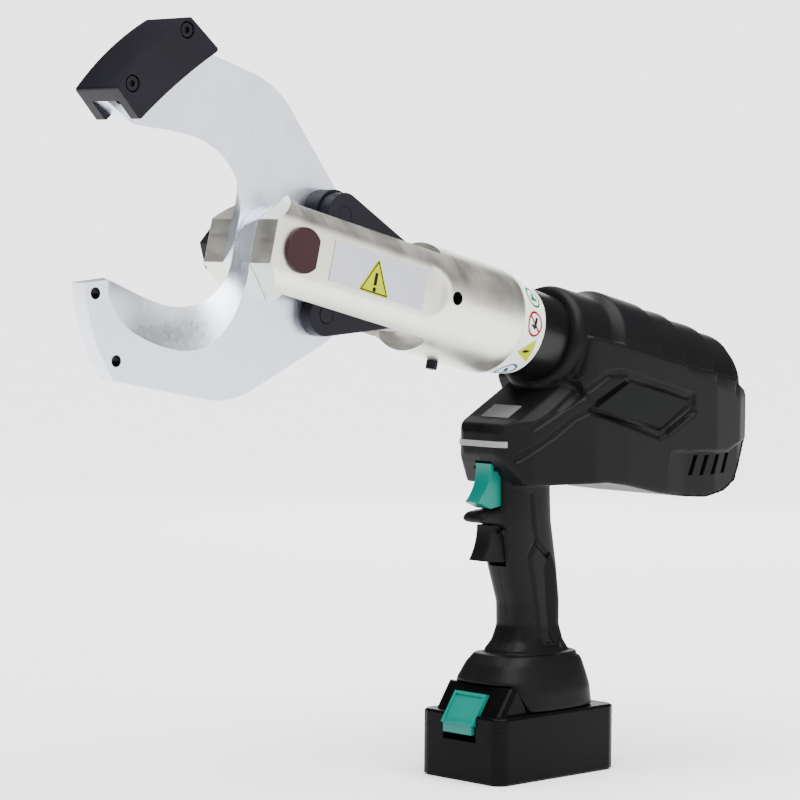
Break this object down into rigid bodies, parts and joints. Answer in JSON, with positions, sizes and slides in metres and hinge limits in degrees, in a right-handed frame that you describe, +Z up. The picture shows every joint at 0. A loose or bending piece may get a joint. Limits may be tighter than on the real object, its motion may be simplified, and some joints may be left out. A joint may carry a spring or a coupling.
{
  "type": "hydraulic cable cutter",
  "caption": "Battery hydraulic cable cutter with scissor jaws closed by a ram, on a swivelling barrel with a pistol grip.",
  "frame": {"origin": "middle of the battery's flat base", "axes": "+Z up, -X towards the jaws, +X to the rear of the motor housing, -Y the tool's left side"},
  "size_m": [0.5874, 0.0954, 0.4932],
  "materials": {
    "ground_steel": "ground and brushed",
    "satin_alloy": "satin, lightly brushed",
    "black_steel": "black oxide",
    "pin_steel": "brown phosphate",
    "steel": "turned",
    "bronze": "turned",
    "plate_alloy": "fine brushed",
    "label_yellow": "printed film",
    "label_white": "printed film",
    "shell_plastic": "fine spark texture",
    "pad_rubber": "matt",
    "badge_plastic": "satin",
    "teal_plastic": "satin",
    "window_plastic": "smoked",
    "lens_plastic": "clear, frosted",
    "battery_plastic": "semi-gloss",
    "pump_alloy": "machined",
    "board_green": "lacquered",
    "cell_wrap": "shrink film",
    "seal_rubber": "matt"
  },
  "bodies": {
    "handle": {"neck_tube": "black_steel", "housing_left": "shell_plastic", "housing_right": "shell_plastic", "housing_screws": "black_steel", "nose_window": "window_plastic", "led_lens": "lens_plastic", "side_badges": "badge_plastic", "grip_pads": "pad_rubber", "pump_block": "pump_alloy", "gearbox_housing": "pump_alloy", "motor_can": "steel", "motor_bearings": "steel", "oil_bladder": "seal_rubber", "relief_valve": "bronze", "circuit_board": "board_green", "switch_body": "badge_plastic", "trigger_pin": "steel", "retract_pin": "steel", "terminal_block": "badge_plastic"},
    "head": {"yoke_body": "satin_alloy", "name_plate": "plate_alloy", "caution_label": "label_yellow", "label_ring": "label_white", "lock_screw": "black_steel", "swivel_ring": "steel", "rod_gland": "bronze", "pivot_pin": "pin_steel", "pivot_nut": "black_steel", "return_spring": "steel"},
    "jaw_upper": {"blade_upper": "ground_steel", "guide_block": "black_steel", "guide_screws": "black_steel", "heel_spacer_upper": "black_steel", "heel_pin_upper": "black_steel"},
    "jaw_lower": {"blade_lower": "ground_steel", "heel_spacer_lower": "black_steel", "heel_pin_lower": "black_steel"},
    "link_upper": {"link_plates_upper": "black_steel", "link_pin_upper": "steel"},
    "link_lower": {"link_plates_lower": "black_steel", "link_pin_lower": "steel"},
    "ram": {"crosshead": "steel", "piston_rod": "steel", "piston": "steel", "piston_seal": "seal_rubber"},
    "motor_shaft": {"motor_rotor": "steel", "motor_fan": "badge_plastic"},
    "pump_shaft": {"eccentric_shaft": "steel"},
    "plunger": {"pump_plunger": "steel"},
    "trigger": {"trigger": "teal_plastic"},
    "retract": {"retract_trigger": "shell_plastic"},
    "battery": {"battery_lower_case": "battery_plastic", "battery_upper_case": "battery_plastic", "battery_cells": "cell_wrap", "battery_board": "board_green", "battery_screws": "steel"},
    "latch": {"battery_latch": "teal_plastic"}
  },
  "joints": [
    {"name": "head_swivel", "type": "hinge", "parent": "handle", "child": "head", "pos_m": [-0.01056, 0, 0.30052], "axis": [0.972, 0, -0.2351], "range_deg": [-175, 175]},
    {"name": "jaw_close", "type": "hinge", "parent": "head", "child": "jaw_upper", "pos_m": [-0.2312, 0, 0.3539], "axis": [0, -1, 0], "range_deg": [0, 45]},
    {"name": "lower_jaw_turn", "type": "hinge", "parent": "head", "child": "jaw_lower", "pos_m": [-0.2312, 0, 0.3539], "axis": [0, -1, 0], "range_deg": [-45.5, 0.5]},
    {"name": "upper_link_turn", "type": "hinge", "parent": "jaw_upper", "child": "link_upper", "pos_m": [-0.18674, 0, 0.37607], "axis": [0, -1, 0], "range_deg": [-59.37, 1]},
    {"name": "lower_link_turn", "type": "hinge", "parent": "jaw_lower", "child": "link_lower", "pos_m": [-0.20179, 0, 0.31386], "axis": [0, -1, 0], "range_deg": [-1, 59.37]},
    {"name": "ram_stroke", "type": "slide", "parent": "head", "child": "ram", "axis": [-0.972, 0, 0.2351], "range_m": [-0.0005, 0.041], "deforming": ["return_spring"]},
    {"name": "motor_spin", "type": "hinge", "parent": "handle", "child": "motor_shaft", "pos_m": [0.14786, 0, 0.2622], "axis": [0.972, 0, -0.2351], "continuous": true},
    {"name": "pump_shaft_spin", "type": "hinge", "parent": "handle", "child": "pump_shaft", "pos_m": [0.10413, 0, 0.27278], "axis": [0.972, 0, -0.2351], "continuous": true},
    {"name": "plunger_stroke", "type": "slide", "parent": "handle", "child": "plunger", "axis": [-0.2351, 0, -0.972], "range_m": [0, 0.002], "stiffness_N_per_m": 200},
    {"name": "trigger_press", "type": "hinge", "parent": "handle", "child": "trigger", "pos_m": [-0.033, 0, 0.2075], "axis": [0, -1, 0], "range_deg": [0, 9], "stiffness_Nm_per_rad": 0.5, "springref_deg": -5.73},
    {"name": "retract_press", "type": "hinge", "parent": "handle", "child": "retract", "pos_m": [-0.029, 0, 0.1655], "axis": [0, -1, 0], "range_deg": [0, 8], "stiffness_Nm_per_rad": 0.5, "springref_deg": -5.73},
    {"name": "battery_slide", "type": "slide", "parent": "handle", "child": "battery", "axis": [-1, 0, 0], "range_m": [0, 0.1]},
    {"name": "latch_press", "type": "slide", "parent": "battery", "child": "latch", "axis": [0, 0, -1], "range_m": [0, 0.0035], "stiffness_N_per_m": 1500, "springref_m": -0.003}
  ],
  "couplings": [
    {"joint": "lower_jaw_turn", "follows": "jaw_close", "ratio": -1},
    {"joint": "upper_link_turn", "follows": "jaw_close", "ratio": -1.2972},
    {"joint": "lower_link_turn", "follows": "jaw_close", "ratio": 1.2972},
    {"joint": "ram_stroke", "follows": "jaw_close", "m_per_rad": 0.051563},
    {"joint": "pump_shaft_spin", "follows": "motor_spin", "ratio": 0.25}
  ]
}
